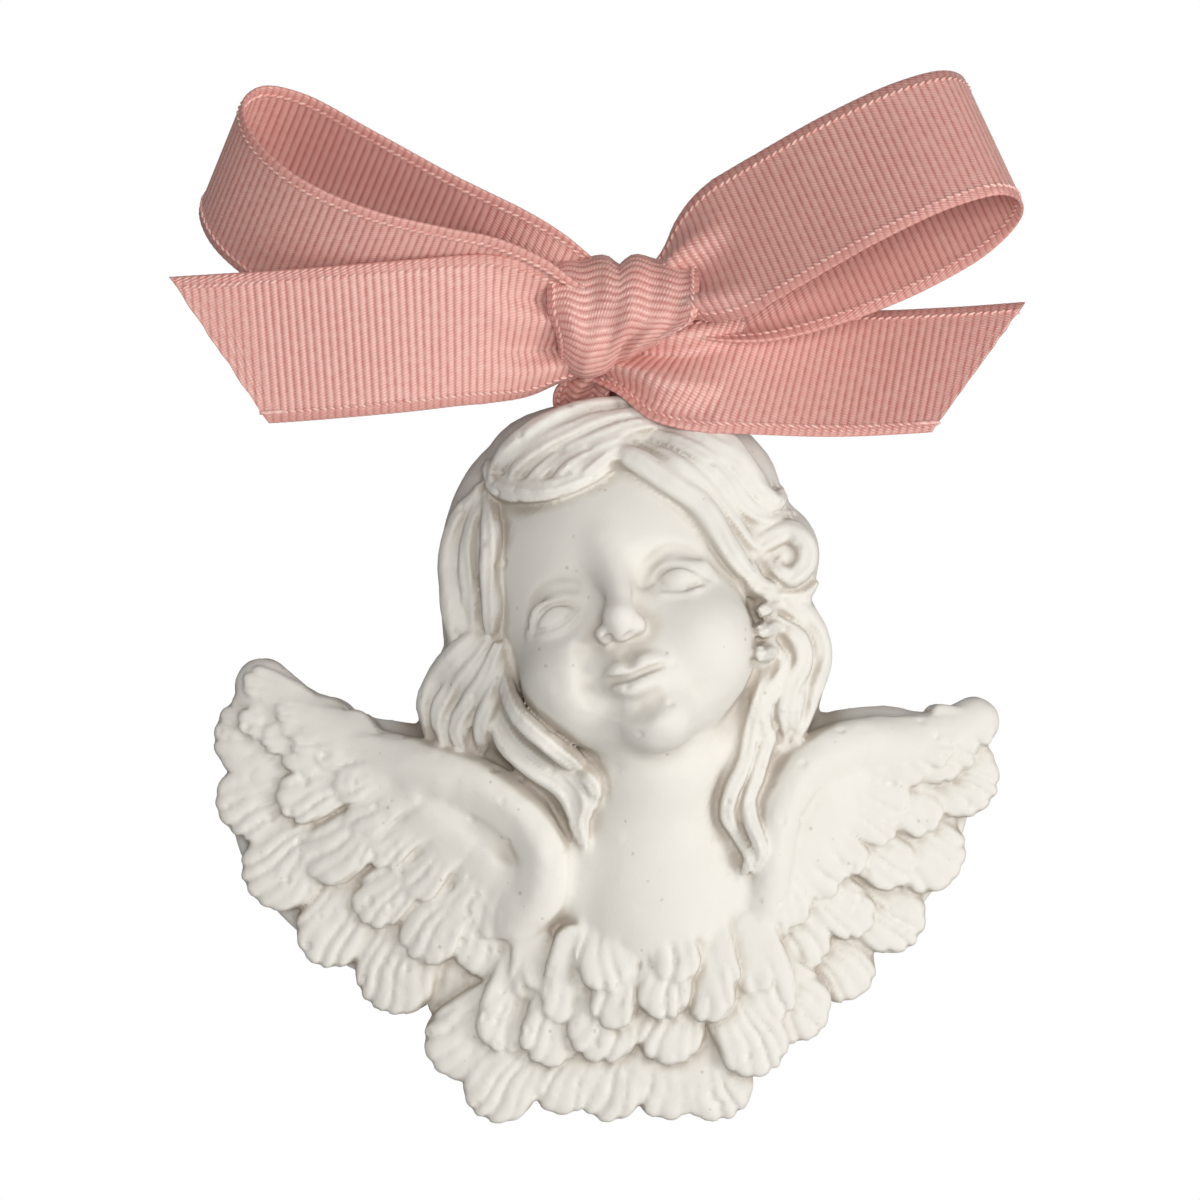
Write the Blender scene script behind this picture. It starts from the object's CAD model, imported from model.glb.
"""A winged cherub's head cast in white plaster, hung from a bow of grosgrain ribbon."""

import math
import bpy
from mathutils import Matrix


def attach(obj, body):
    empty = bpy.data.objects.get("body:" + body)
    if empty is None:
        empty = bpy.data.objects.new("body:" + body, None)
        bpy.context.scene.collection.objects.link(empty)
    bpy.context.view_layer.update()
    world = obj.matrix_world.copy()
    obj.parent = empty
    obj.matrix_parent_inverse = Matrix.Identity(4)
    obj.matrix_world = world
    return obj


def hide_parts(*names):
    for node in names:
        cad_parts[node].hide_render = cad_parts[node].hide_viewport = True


bl_info = {
    "name": "Cherub Head Ornament",
    "version": (1, 0, 0),
    "blender": (4, 5, 0),
    "location": "View3D > Sidebar > Ornament",
    "description": "Carves a plaster cherub's head and ties the grosgrain bow that it hangs from",
    "category": "Add Mesh",
}

import bpy
import numpy as np
import openvdb
from mathutils import Vector
from mathutils.kdtree import KDTree

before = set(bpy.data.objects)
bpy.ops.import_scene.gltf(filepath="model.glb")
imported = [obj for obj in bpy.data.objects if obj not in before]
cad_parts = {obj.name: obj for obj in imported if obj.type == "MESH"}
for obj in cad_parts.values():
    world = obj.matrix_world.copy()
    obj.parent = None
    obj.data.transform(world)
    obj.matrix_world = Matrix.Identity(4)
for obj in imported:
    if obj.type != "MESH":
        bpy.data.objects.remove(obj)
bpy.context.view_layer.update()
MM = 0.001

# The carving is drawn in millimetres: x to the right, y up from the top of the hair, z out from the back.
# The knot's middle is KNOT_RISE above the hair and KNOT_OUT from the back, and the origin is behind it.
KNOT_RISE = 7.7
KNOT_OUT = 11.0
ORIGIN_OUT = 6.9
# What a sample holds where nothing is near it, and how far round a shape the samples are worked out.
FAR = 9.0
MARGIN = 1.2
# A strand is measured this far out, and has this many pieces for each of its points, standing or free.
STRAND_REACH = 3.2
PIECES_STANDING = 14
PIECES_FREE = 6
# Grooves along a strand: turns of the wave over its half width, and how far and how fast they wander.
GROOVE_TURNS = 2.3
GROOVE_WANDER = 0.9
GROOVE_PACE = 0.14
# Streaks on a feather: the distance between them, and how far they notch its rim.
STREAK_PITCH = 1.5
RAGGED = 0.2
# Rows of feathers: pieces of the guiding curves, how far a tip strays, and how the feathers melt together.
ROW_PIECES = 120
TIP_STRAY = 0.35
ROW_MELT = 0.15


def to_object(points):
    """Takes drawn millimetres to the object's own metres, stood up and facing along -Y."""
    p = np.asarray(points, float)
    return np.stack([p[..., 0], ORIGIN_OUT - p[..., 2], p[..., 1] - KNOT_RISE], -1) * MM


def direction(vectors):
    """Takes drawn directions to the object's own."""
    v = np.asarray(vectors, float)
    return np.stack([v[..., 0], -v[..., 2], v[..., 1]], -1)


# Carving: shapes that melt into one another in a box of distances


def mix(a, b, t):
    return a + (b - a) * t


def smoothstep(low, high, x):
    t = np.clip((x - low) / (high - low), 0, 1)
    return t * t * (3 - 2 * t)


def unit(vectors):
    """The same directions, each of length one."""
    return vectors / np.maximum(np.linalg.norm(vectors, axis=-1), 1e-9)[..., None]


def melt(a, b, k):
    """Smooth minimum: the two surfaces melt together over a width of k."""
    h = np.maximum(k - np.abs(a - b), 0) / k
    return np.minimum(a, b) - h * h * (k * 0.25)


def melt_max(a, b, k):
    return -melt(-a, -b, k)


class Lattice:
    """A box of samples, read between them by linear mixing."""

    def __init__(self, low, cell, value):
        self.low = np.array(low, float)
        self.cell = cell
        self.value = value

    def at(self, points):
        place = (points - self.low) / self.cell
        top = np.array(self.value.shape) - 2
        first = np.clip(np.floor(place).astype(int), 0, top)
        t = np.clip(place - first, 0, 1)
        total = 0
        for corner in range(8):
            bits = np.array([corner & 1, corner >> 1 & 1, corner >> 2 & 1])
            i, j, k = (first + bits).T
            total = total + np.prod(np.where(bits, t, 1 - t), axis=1) * self.value[i, j, k]
        return total


def lumps(points, size, seed):
    """Smooth noise from -1 to 1, its lumps about this size."""
    rng = np.random.default_rng(seed)
    across = 48
    value = rng.uniform(-1, 1, (across, across, across))
    place = np.mod(points / size, across - 2)
    return Lattice([0, 0, 0], 1.0, value).at(place)


class Carving(Lattice):
    """A box of samples of the distance to the carved surface, negative inside."""

    def __init__(self, low, high, cell):
        size = [int(math.ceil((h - l) / cell)) + 1 for l, h in zip(low, high)]
        super().__init__(low, cell, np.full(size, FAR, np.float32))

    def apply(self, shape, reach, rule):
        window = []
        axes = []
        for a, size in enumerate(self.value.shape):
            first = int(np.clip(math.floor((shape.low[a] - reach - self.low[a]) / self.cell), 0, size))
            last = int(np.clip(math.ceil((shape.high[a] + reach - self.low[a]) / self.cell) + 1, 0, size))
            window.append(slice(first, last))
            axes.append((self.low[a] + self.cell * np.arange(first, last)).astype(np.float32))
        if min(len(axis) for axis in axes) == 0:
            return
        window = tuple(window)
        x, y, z = np.ix_(*axes)
        self.value[window] = rule(self.value[window], shape.distance(x, y, z))

    def add(self, shape, k):
        self.apply(shape, k + MARGIN, lambda a, b: melt(a, b, k))

    def carve(self, shape, k):
        self.apply(shape, k + MARGIN, lambda a, b: melt_max(a, -b, k))

    def tops(self, spread):
        """How high the surface stands over each place of the back, with high places spread by this much."""
        solid = self.value < 0
        last = np.clip(solid.shape[2] - 1 - np.argmax(solid[:, :, ::-1], axis=2), 0, solid.shape[2] - 2)
        i, j = np.indices(last.shape)
        inside = self.value[i, j, last]
        part = np.clip(inside / np.minimum(inside - self.value[i, j, last + 1], -1e-6), 0, 1)
        height = np.where(solid.any(axis=2), self.low[2] + self.cell * (last + part), 0)
        reach = int(round(spread / self.cell))
        for axis in (0, 1):
            shifted = [np.roll(height, i, axis) for i in range(-reach, reach + 1)]
            height = np.max(shifted, axis=0)
        return Plan(self.low, self.cell, height)


class Plan:
    """Heights over the places of the back."""

    def __init__(self, low, cell, height):
        self.low = low
        self.cell = cell
        self.height = height

    def at(self, x, y):
        i = int(round((x - self.low[0]) / self.cell))
        j = int(round((y - self.low[1]) / self.cell))
        return float(self.height[i, j])


class Ball:
    """An ellipsoid. With stand, it goes straight down to the back from its widest outline."""

    def __init__(self, centre, radii, stand=False, turn=None):
        self.centre = np.array(centre, float)
        self.radii = radii
        self.stand = stand
        self.turn = turn
        reach = max(radii)
        self.low = self.centre - reach
        self.high = self.centre + reach
        if stand:
            self.low[2] = 0

    def distance(self, x, y, z):
        x = x - np.float32(self.centre[0])
        y = y - np.float32(self.centre[1])
        z = z - np.float32(self.centre[2])
        if self.stand:
            z = np.maximum(z, 0)
        if self.turn is not None:
            m = self.turn.T.astype(np.float32)
            x, y, z = [m[i, 0] * x + m[i, 1] * y + m[i, 2] * z for i in range(3)]
        a, b, c = self.radii
        p, q, r = x / a, y / b, z / c
        k0 = np.sqrt(p * p + q * q + r * r)
        k1 = np.sqrt((p / a) ** 2 + (q / b) ** 2 + (r / c) ** 2)
        return np.where(k1 < 1e-6, -min(self.radii), k0 * (k0 - 1) / np.maximum(k1, 1e-6)).astype(np.float32)


def smooth_curve(points, steps):
    """Samples a centripetal Catmull-Rom curve through the points, all columns alike."""
    p = np.array(points, float)
    p = np.vstack([2 * p[0] - p[1], p, 2 * p[-1] - p[-2]])
    gap = np.maximum(np.linalg.norm(np.diff(p[:, :3], axis=0), axis=1) ** 0.5, 1e-4)
    knots = np.concatenate([[0], np.cumsum(gap)])
    out = []
    for place in np.linspace(0, len(points) - 1, steps + 1):
        i = min(int(place), len(points) - 2)
        t = knots[i + 1] + (place - i) * (knots[i + 2] - knots[i + 1])
        k = knots[i : i + 4]
        level = list(p[i : i + 4])
        for span in (1, 2):
            level = [
                (level[j] * (k[j + span] - t) + level[j + 1] * (t - k[j])) / (k[j + span] - k[j])
                for j in range(len(level) - 1)
            ]
        out.append((level[0] * (k[2] - t) + level[1] * (t - k[1])) / (k[2] - k[1]))
    return np.array(out)


class Strand:
    """A round strand through [x, y, z, radius] points. With stand, it goes down to the back."""

    def __init__(self, points, flat=1.0, stand=False, groove=0.0, phase=0.0):
        self.at = smooth_curve(points, len(points) * (PIECES_STANDING if stand else PIECES_FREE))
        self.groove = groove
        self.phase = phase
        self.flat = flat
        self.stand = stand
        widest = self.at[:, 3].max()
        self.low = self.at[:, :3].min(0) - widest
        self.high = self.at[:, :3].max(0) + widest
        if stand:
            self.low[2] = 0

    def distance(self, x, y, z):
        shape = np.broadcast_shapes(x.shape, y.shape, z.shape)
        best = np.full(shape, 1e6, np.float32)
        cut = np.zeros(shape, np.float32)
        for i, (a, b) in enumerate(zip(self.at[:-1], self.at[1:])):
            d = (b - a)[:3]
            low = np.minimum(a, b)[:3] - max(a[3], b[3]) - STRAND_REACH
            high = np.maximum(a, b)[:3] + max(a[3], b[3]) + STRAND_REACH
            if self.stand:
                low[2] = -np.inf
            window = tuple(
                slice(*(int(np.searchsorted(places.reshape(-1), end[axis])) for end in (low, high)))
                for axis, places in enumerate((x, y, z))
            )
            cx = x[window[0], :, :] - np.float32(a[0])
            cy = y[:, window[1], :] - np.float32(a[1])
            cz = z[:, :, window[2]] - np.float32(a[2])
            if min(cx.size, cy.size, cz.size) == 0:
                continue
            if self.stand:
                t = np.clip((cx * d[0] + cy * d[1]) / max(d[:2] @ d[:2], 1e-9), 0, 1)
                ez = np.maximum(cz - t * d[2], 0)
            else:
                t = np.clip((cx * d[0] + cy * d[1] + cz * d[2]) / max(d @ d, 1e-9), 0, 1)
                ez = cz - t * d[2]
            ex = cx - t * d[0]
            ey = cy - t * d[1]
            far = np.sqrt(ex * ex + ey * ey + (ez / self.flat) ** 2)
            r = mix(a[3], b[3], t)
            gap = (far - r).astype(np.float32)
            if self.groove:
                side = (ex * d[1] - ey * d[0]) / max(math.hypot(d[0], d[1]), 1e-6) / r
                bend = GROOVE_WANDER * np.sin(GROOVE_PACE * (i + t) + self.phase)
                line = 0.5 + 0.5 * np.cos(math.pi * GROOVE_TURNS * side + bend + self.phase)
                line = line * np.clip(1.6 - np.abs(side), 0, 1)
                cut[window] = np.where(gap < best[window], line, cut[window])
            best[window] = np.minimum(best[window], gap)
        return (best + self.groove * cut) * math.sqrt(self.flat)


class Feather:
    """A broad scale from root to tip, standing on the back, with streaks that fan out from its root."""

    def __init__(self, root, tip, half, flat, narrow, lean=0.0, streaks=0.33, seed=0):
        self.start = np.array(root, float)
        along = np.array(tip, float) - self.start
        self.long = max(np.linalg.norm(along) - half, 0.5)
        self.along = unit(along)
        across = unit(np.cross([0, 0, 1], self.along))
        out = np.cross(self.along, across)
        c, s = math.cos(math.radians(lean)), math.sin(math.radians(lean))
        self.across = across * c + out * s
        self.out = out * c - across * s
        self.half, self.flat, self.narrow = half, flat, narrow
        self.streaks, self.seed = streaks, seed
        ends = np.array([self.start, tip])
        self.low = ends.min(0) - half
        self.high = ends.max(0) + half
        self.low[2] = 0

    def distance(self, x, y, z):
        p = [c - np.float32(s) for c, s in zip((x, y, z), self.start)]

        def dot(v):
            return p[0] * np.float32(v[0]) + p[1] * np.float32(v[1]) + p[2] * np.float32(v[2])

        s = dot(self.along)
        share = np.clip(s / self.long, 0, 1)
        t = dot(self.across)
        n = np.maximum(dot(self.out), 0) / self.flat
        r = self.half * mix(self.narrow, 1, np.sin(share * (np.pi / 2)))
        e = s - share * self.long
        # The streaks meet at a place behind the root.
        behind = 0.45 * self.long + 1.0
        fan = np.arctan2(t, np.maximum(s, 0) + behind)
        spread = math.atan(self.half / (self.long + behind))
        many = max(round(2 * self.half / STREAK_PITCH), 3)
        wobble = 0.8 * np.sin(s * 1.1 + self.seed * 2.1) + 0.5 * np.sin(t * 1.7 + self.seed)
        line = (0.5 + 0.5 * np.cos(fan / spread * (np.pi * many) + wobble + self.seed * 1.3)) ** 3
        rim = np.clip((s / (self.long + self.half) - 0.15) / 0.4, 0, 1)
        uneven = 0.65 + 0.35 * np.sin(fan / spread * 4 + self.seed * 3.1)
        relief = -self.streaks * line * rim * uneven
        r = r - RAGGED * line * uneven * np.clip(e / self.half, 0, 1)
        plane = np.sqrt(e * e + t * t)
        far = (plane**4 + n**4) ** 0.25 + 1e-6
        steep = np.sqrt(plane**6 + n**6 / self.flat**2) / far**3
        gap = (far - r) / np.maximum(steep, 0.3)
        return (gap - np.where(n > 0, relief, 0)).astype(np.float32)


# What is carved


def row(f, roots, tips, half, flat, seed, lean=0.0, narrow=0.6, count=None):
    """Feathers with their roots along one curve and their tips along another, no two the same."""
    count = count or len(tips)
    root_line = smooth_curve(roots, ROW_PIECES)
    tip_line = smooth_curve(tips, ROW_PIECES)
    rng = np.random.default_rng(seed)
    for i in range(count):
        t = i / (count - 1)
        at = int(round(t * ROW_PIECES))
        tip = tip_line[at] + rng.uniform(-TIP_STRAY, TIP_STRAY, 3) * [1, 1, 0.5]
        wide = mix(half[0], half[1], t) * rng.uniform(0.88, 1.06)
        turned = lean + rng.uniform(-5, 5)
        f.add(Feather(root_line[at], tip, wide, flat, narrow, turned, seed=seed + i), ROW_MELT)


def in_plane(degrees):
    """Turns in the plane of the back."""
    c, s = math.cos(math.radians(degrees)), math.sin(math.radians(degrees))
    return np.array([[c, -s, 0], [s, c, 0], [0, 0, 1]])


def nodded(degrees):
    """Tips the top towards the front."""
    c, s = math.cos(math.radians(degrees)), math.sin(math.radians(degrees))
    return np.array([[1, 0, 0], [0, c, -s], [0, s, c]])


def mass(f, centre, radii, melted, turned=0):
    """Adds an ellipsoid that stands on the back, turned in its plane."""
    f.add(Ball(centre, radii, stand=True, turn=in_plane(turned) if turned else None), melted)


def body(f):
    """The smooth masses that the wings, the breast and the hair stand on."""
    mass(f, [-22, -46.5, 0], [19, 12.5, 5.2], 1.5, -30)
    mass(f, [-17, -45, 1.5], [13.5, 9.6, 5.2], 2.5, -35)
    mass(f, [21.5, -44.5, 0], [15.5, 11, 5.2], 1.5, 44)
    mass(f, [17.5, -44, 2], [8, 12, 6.2], 2.5, -30)
    mass(f, [3.4, -36, 4], [9.4, 10, 11], 3)
    mass(f, [3.2, -48, 2], [11.6, 14, 10.4], 3)
    mass(f, [0.2, -60.5, 0], [16.4, 10.8, 6.2], 1.5)
    mass(f, [-4.6, -47, 5], [3.2, 8, 5], 2)
    mass(f, [11.4, -47.5, 5], [3.2, 7, 4.6], 2)


def left_wing(f):
    """Three rows of feathers, the smooth pad, the thick rim, and small feathers by the tip."""
    row(f, half=(4.3, 4.0), seed=1, flat=0.26, lean=5, roots=[
        [-30, -33, 4.8], [-29, -38, 5.2], [-26, -43, 5.4], [-22, -48, 5.6], [-17, -51, 5.8], [-12, -53, 6],
    ], tips=[
        [-41.2, -35.6, 3.4], [-40.6, -42.6, 3.3], [-37.6, -50.4, 3.2], [-31.2, -56.8, 3], [-24, -62, 3],
        [-16.6, -63.6, 3.2], [-10.8, -62.4, 3.4],
    ])
    row(f, half=(3.2, 3.1), seed=9, flat=0.28, lean=5, roots=[
        [-27, -33.5, 6], [-25, -39.5, 6.8], [-20, -46, 7.2], [-14, -50, 7.6], [-9, -51, 7.8],
    ], tips=[
        [-35, -36, 5.2], [-35, -41.6, 5.1], [-31.8, -47.6, 5], [-26.6, -52.6, 5], [-21, -56.8, 5.2],
        [-15, -58.6, 5.6], [-9.4, -58.6, 6],
    ])
    row(f, half=(2.1, 2.2), seed=17, flat=0.36, lean=5, roots=[
        [-24, -36, 7.2], [-22.5, -39.5, 7.8], [-18.5, -44, 8.2], [-13.5, -47.5, 8.6], [-10, -49, 8.8],
    ], tips=[
        [-28.4, -36, 6.3], [-29, -39.6, 6.3], [-27.6, -43.4, 6.2], [-25, -47, 6.4], [-21.4, -50.2, 6.6],
        [-17.4, -52.8, 6.9], [-13.6, -54.8, 7.2], [-10, -55.6, 7.5],
    ])
    mass(f, [-16.4, -43.4, 4.4], [9.8, 5, 4.9], 1.0, -42)
    mass(f, [-12.6, -45.2, 4.6], [3.4, 4.8, 4.7], 2, -30)
    mass(f, [-10.2, -49.4, 4.6], [3.6, 5, 4.7], 2, -6)
    f.add(Strand([
        [-36.2, -29.3, 3.6, 2.9], [-32.6, -31.8, 4.6, 2.5], [-28.2, -34.1, 5.4, 2.2],
        [-24.4, -35.8, 6.2, 2.2], [-20, -37.4, 7.6, 2.8], [-15.2, -39, 8.8, 2.9],
        [-11.8, -41.1, 9.5, 2.8], [-9.2, -43.8, 9.9, 2.7], [-7.9, -46.7, 9.9, 2.7],
        [-8.2, -49.9, 9.2, 2.7], [-10.2, -52.5, 8, 2.4],
    ], stand=True, flat=0.75), 1)
    f.carve(Strand([
        [-21, -40.6, 11.6, 1], [-16, -41.6, 12.1, 1.3], [-12.8, -43.4, 12.3, 1.3], [-11, -46.4, 12.3, 1.2],
        [-10.9, -50, 13.4, 1],
    ]), 2.2)
    row(f, half=(2.0, 1.8), seed=23, flat=0.42, count=3, roots=[
        [-32, -30.5, 5.4], [-33, -33, 5.2], [-31, -34, 5.6],
    ], tips=[[-38.4, -28.4, 5.2], [-39, -32.4, 4.8], [-36.4, -34.4, 5.4]])
    row(f, half=(1.5, 1.6), seed=27, flat=0.5, count=4, roots=[[-30, -32.5, 6], [-24, -36, 6.8]],
        tips=[[-35.2, -31.2, 5.9], [-34.4, -33.6, 5.7], [-31, -36.4, 6.2]])


def right_wing(f):
    """The same on the other side, where the wing is seen more from its end."""
    row(f, half=(4.3, 3.9), seed=31, flat=0.26, lean=-5, roots=[
        [28, -36, 5], [25, -42, 5.4], [21, -48, 5.6], [17, -51.5, 5.8], [12, -53, 6],
    ], tips=[
        [37.4, -39.6, 3.4], [34.2, -47.8, 3.2], [29.8, -55, 3], [24.6, -60, 3], [17.6, -61, 3.2],
    ])
    row(f, half=(3.3, 3.1), seed=37, flat=0.28, lean=-5, roots=[
        [26, -34.5, 6.2], [23.5, -40, 6.8], [19, -46.5, 7.2], [14.5, -50, 7.6],
    ], tips=[
        [34.6, -36.6, 5.2], [32, -43.2, 5.1], [28.8, -48.6, 5], [25, -53.6, 5], [19.6, -57.4, 5.4],
    ])
    row(f, half=(2.2, 2.2), seed=43, flat=0.36, lean=-5, roots=[
        [24, -36, 7.2], [21, -40.5, 7.8], [17.5, -45.5, 8.4], [14.5, -48.5, 8.8],
    ], tips=[
        [30.4, -37.6, 6.2], [29, -41, 6.2], [27, -44.6, 6.3], [24.4, -47.6, 6.4], [21.4, -50.4, 6.7],
        [18, -53, 7.1], [14.8, -55.4, 7.4],
    ])
    mass(f, [18.6, -42.6, 4.6], [4.6, 9, 4.7], 1.2, -28)
    f.add(Strand([
        [13.4, -53.6, 7.4, 1.6], [14.6, -49.6, 8.8, 1.8], [15.2, -45.4, 9.8, 2], [16, -41.4, 10, 2.2],
        [17.8, -38, 9.4, 2.5], [20.6, -35.8, 8.2, 2.6], [24.4, -34.9, 6.8, 2.6], [28.4, -34.9, 5.8, 2.4],
        [32.2, -34, 4.9, 2.3], [35.4, -32.8, 4.2, 2.5],
    ], stand=True, flat=0.8), 1)
    f.carve(Strand([
        [24.4, -37.4, 10.6, 1.2], [21, -39.2, 11.6, 1.4], [19, -42.4, 12, 1.4], [17.8, -46.4, 11.6, 1.1],
    ]), 1.6)
    row(f, half=(2.0, 1.8), seed=47, flat=0.42, count=2, roots=[[31, -34, 5.8], [32, -32, 5.6]],
        tips=[[35.2, -37, 5], [37.4, -34.2, 5]])
    row(f, half=(1.5, 1.5), seed=53, flat=0.5, count=4, roots=[[30, -34, 6.4], [24, -36, 7]],
        tips=[[34.2, -35.4, 6], [31.8, -37.4, 6.2], [28.4, -38.6, 6.8]])


def breast(f):
    """Three rows of feathers below the chest, and five that hang over their roots."""
    row(f, half=(3.9, 3.7), seed=50, flat=0.32, narrow=0.75, roots=[
        [-12, -61, 5.4], [-5, -64, 5.8], [2, -65, 6], [8, -65, 5.6],
    ], tips=[
        [-19, -68, 3.6], [-14.6, -72.2, 3.8], [-8, -71.8, 4.2], [-3, -72.8, 4], [4.4, -72.8, 4],
        [10.6, -72.8, 3.8],
    ])
    row(f, half=(3.4, 3.8), seed=57, flat=0.32, narrow=0.8, lean=-3, roots=[
        [-10, -57, 6.6], [-4, -58.5, 7.6], [3, -59, 8], [9, -58, 7.8], [13, -57, 7],
    ], tips=[
        [-12.6, -66, 5.6], [-8, -67.2, 6.2], [-3.4, -66.6, 7], [4, -66.8, 7.2], [14.6, -68.4, 5.6],
        [19.6, -63.8, 4.4],
    ])
    row(f, half=(2.6, 3), seed=64, flat=0.34, narrow=0.8, roots=[
        [-9, -54.5, 8], [-4, -55, 9.2], [2, -55.5, 9.8], [8, -55.5, 9.2], [13, -54, 8.2],
    ], tips=[
        [-9.4, -61, 6.9], [-6, -63.4, 7.4], [-1, -63.6, 8.6], [3.8, -62.6, 9.4], [8.4, -63.2, 8.6],
        [15.6, -63, 6.6],
    ])
    for root, tip, half, seed in (
        ([-8.4, -53.6, 7.2], [-8, -60, 7.8], 2.1, 71),
        ([12.4, -52, 6.6], [13.4, -60.2, 8], 2.5, 72),
        ([8.6, -51.6, 9], [9.8, -60.4, 9], 2.3, 73),
        ([5, -51, 10], [5.4, -59, 10.2], 2.5, 74),
        ([-2.4, -49.6, 8.4], [-1.4, -59.8, 9.6], 3.2, 75),
    ):
        f.add(Feather(root, tip, half, 0.36, 0.7, streaks=0.42, seed=seed), 0.3)


HEAD_AT = np.array([0.0, -22.0, 9.4])
HEAD_TURN = in_plane(18) @ nodded(-18)
# Places on the face, across and up from the middle of the head.
EYE_X, EYE_Y = 6.4, -1.2
NOSE_X, NOSE_Y = -0.6, -5.7
MOUTH_X, MOUTH_Y = -0.9, -9.7
CHIN_Y = -13.8


def on_head(x, y, z):
    return HEAD_TURN @ np.array([x, y, z], float) + HEAD_AT


def head_ball(x, y, z, radii):
    return Ball(on_head(x, y, z), radii, turn=HEAD_TURN)


def skull(f):
    """The head, the hollows of its eyes, the eyeballs and the nose."""
    f.add(head_ball(0.4, 2.2, 0, [13.1, 15.4, 12]), 1.2)
    f.add(head_ball(0, 6.6, 3.2, [10.4, 8.4, 8.8]), 3)
    f.add(head_ball(0.3, -8, 2.6, [9.8, 7, 7.2]), 3)
    for side in (-1, 1):
        f.add(head_ball(side * 6.3, -6.6, 5, [5.6, 5.7, 6.2]), 2.4)
    f.add(head_ball(0.2, CHIN_Y, 6.4, [3.6, 2.8, 4]), 2.2)
    f.add(head_ball(MOUTH_X, MOUTH_Y + 0.4, 7.4, [4.2, 3.8, 4]), 2.2)
    for side in (-1, 1):
        f.carve(head_ball(side * EYE_X, EYE_Y + 0.6, 13, [4, 2.4, 2.8]), 2.2)
        f.carve(head_ball(side * 3.5, EYE_Y + 0.9, 13, [1.5, 1.9, 2.1]), 1.8)
        f.add(head_ball(side * EYE_X, EYE_Y, 8.4, [2.7, 2.2, 2.6]), 0.3)
    bridge = [
        [0.3, 4, 10.9, 1.6], [0.2, 0.6, 12.2, 1.3], [0.1, NOSE_Y + 3.4, 13.1, 1.25],
        [NOSE_X + 0.2, NOSE_Y + 1.6, 13.6, 1.3],
    ]
    f.add(Strand([[*on_head(x, y, z), r] for x, y, z, r in bridge]), 1.8)
    f.add(head_ball(NOSE_X + 0.2, NOSE_Y + 1.1, 13.4, [1.5, 1.35, 1.5]), 1.2)
    for x in (NOSE_X - 2, NOSE_X + 1.6):
        f.add(head_ball(x, NOSE_Y + 0.4, 12, [0.85, 0.9, 1.3]), 1)
    f.add(head_ball(NOSE_X, NOSE_Y, 12.5, [1.1, 0.9, 1.3]), 0.8)


def lay(f, ground, points, melted, flat=1.0, **how):
    """Adds a strand of [x, y, how far its top stands above the ground, half width] points."""
    at = [[x, y, ground.at(x, y) + rise - r * flat, r] for x, y, rise, r in points]
    f.add(Strand(at, flat=flat, **how), melted)


def score(f, ground, points, melted):
    """Cuts a groove of [x, y, how deep, half width] points."""
    f.carve(Strand([[x, y, ground.at(x, y) + r - deep, r] for x, y, deep, r in points]), melted)


# Lines on the face, seen from the front: [x, y, how far it stands out or cuts in, half width].
UPPER_LIDS = [
    [[-9.1, -23.6, 0, 0.5], [-8.5, -21.6, 0.2, 0.7], [-7, -20.3, 0.3, 0.8], [-5.3, -20.1, 0.25, 0.7],
     [-4.1, -20.8, 0, 0.5]],
    [[2.5, -18.7, 0, 0.5], [3.6, -17, 0.25, 0.7], [5.4, -16.2, 0.3, 0.8], [7.3, -16.8, 0.25, 0.7],
     [8.7, -18.2, 0, 0.5]],
]
LOWER_LIDS = [
    [[-9.2, -24, 0, 0.3], [-7.8, -24, 0.35, 0.42], [-6.1, -23.4, 0.4, 0.45], [-4.9, -22.2, 0.3, 0.4],
     [-4.2, -21.2, 0, 0.3]],
    [[2.5, -19.2, 0, 0.3], [3.8, -19.9, 0.35, 0.42], [5.6, -20, 0.4, 0.45], [7.3, -19.5, 0.35, 0.4],
     [8.8, -18.4, 0, 0.3]],
]
LID_FOLDS = [
    [[-9.4, -22.6, 0, 0.4], [-8.7, -20.6, 0.12, 0.5], [-7, -19.3, 0.14, 0.5], [-4.9, -19.2, 0, 0.4]],
    [[2, -18.8, 0, 0.4], [2.8, -16.9, 0.14, 0.45], [4.8, -15.5, 0.08, 0.5], [7.4, -16, 0, 0.4]],
]
EYE_OUTLINES = [
    [[-9, -23.7, 0.2, 0.24], [-8.5, -22.3, 0.4, 0.28], [-7.2, -21.1, 0.5, 0.3], [-5.5, -20.9, 0.45, 0.28],
     [-4.4, -21.2, 0.3, 0.26]],
    [[-8.7, -23.6, 0.2, 0.22], [-7.4, -23.4, 0.25, 0.22], [-5.8, -22.6, 0.25, 0.22],
     [-4.6, -21.4, 0.2, 0.22]],
    [[2.7, -19, 0.2, 0.24], [3.8, -17.8, 0.32, 0.26], [5.5, -17.1, 0.36, 0.28], [7.3, -17.6, 0.3, 0.26],
     [8.6, -18.4, 0.15, 0.22]],
    [[3, -19.3, 0.15, 0.2], [4.6, -19.5, 0.2, 0.2], [6.4, -19.4, 0.2, 0.2], [8, -18.8, 0.15, 0.2]],
]
# The nostrils and the corners of the mouth: [x, y, how deep].
PITS = ((-1.6, -24.3, 0.5), (0.5, -24.1, 0.5), (4.4, -27.1, 0.6), (-2.2, -29.2, 0.5))
UPPER_LIP = [
    [-2.4, -28.7, 0, 0.4], [-0.6, -27.6, 0.5, 0.7], [0.9, -27.2, 0.4, 0.65], [2.4, -26.6, 0.5, 0.7],
    [4.1, -26.6, 0, 0.4],
]
LOWER_LIP = [[-1.6, -29.6, 0, 0.6], [0.3, -29.7, 0.75, 1.1], [1.8, -29.2, 0.75, 1.1], [3.4, -28, 0, 0.6]]
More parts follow.
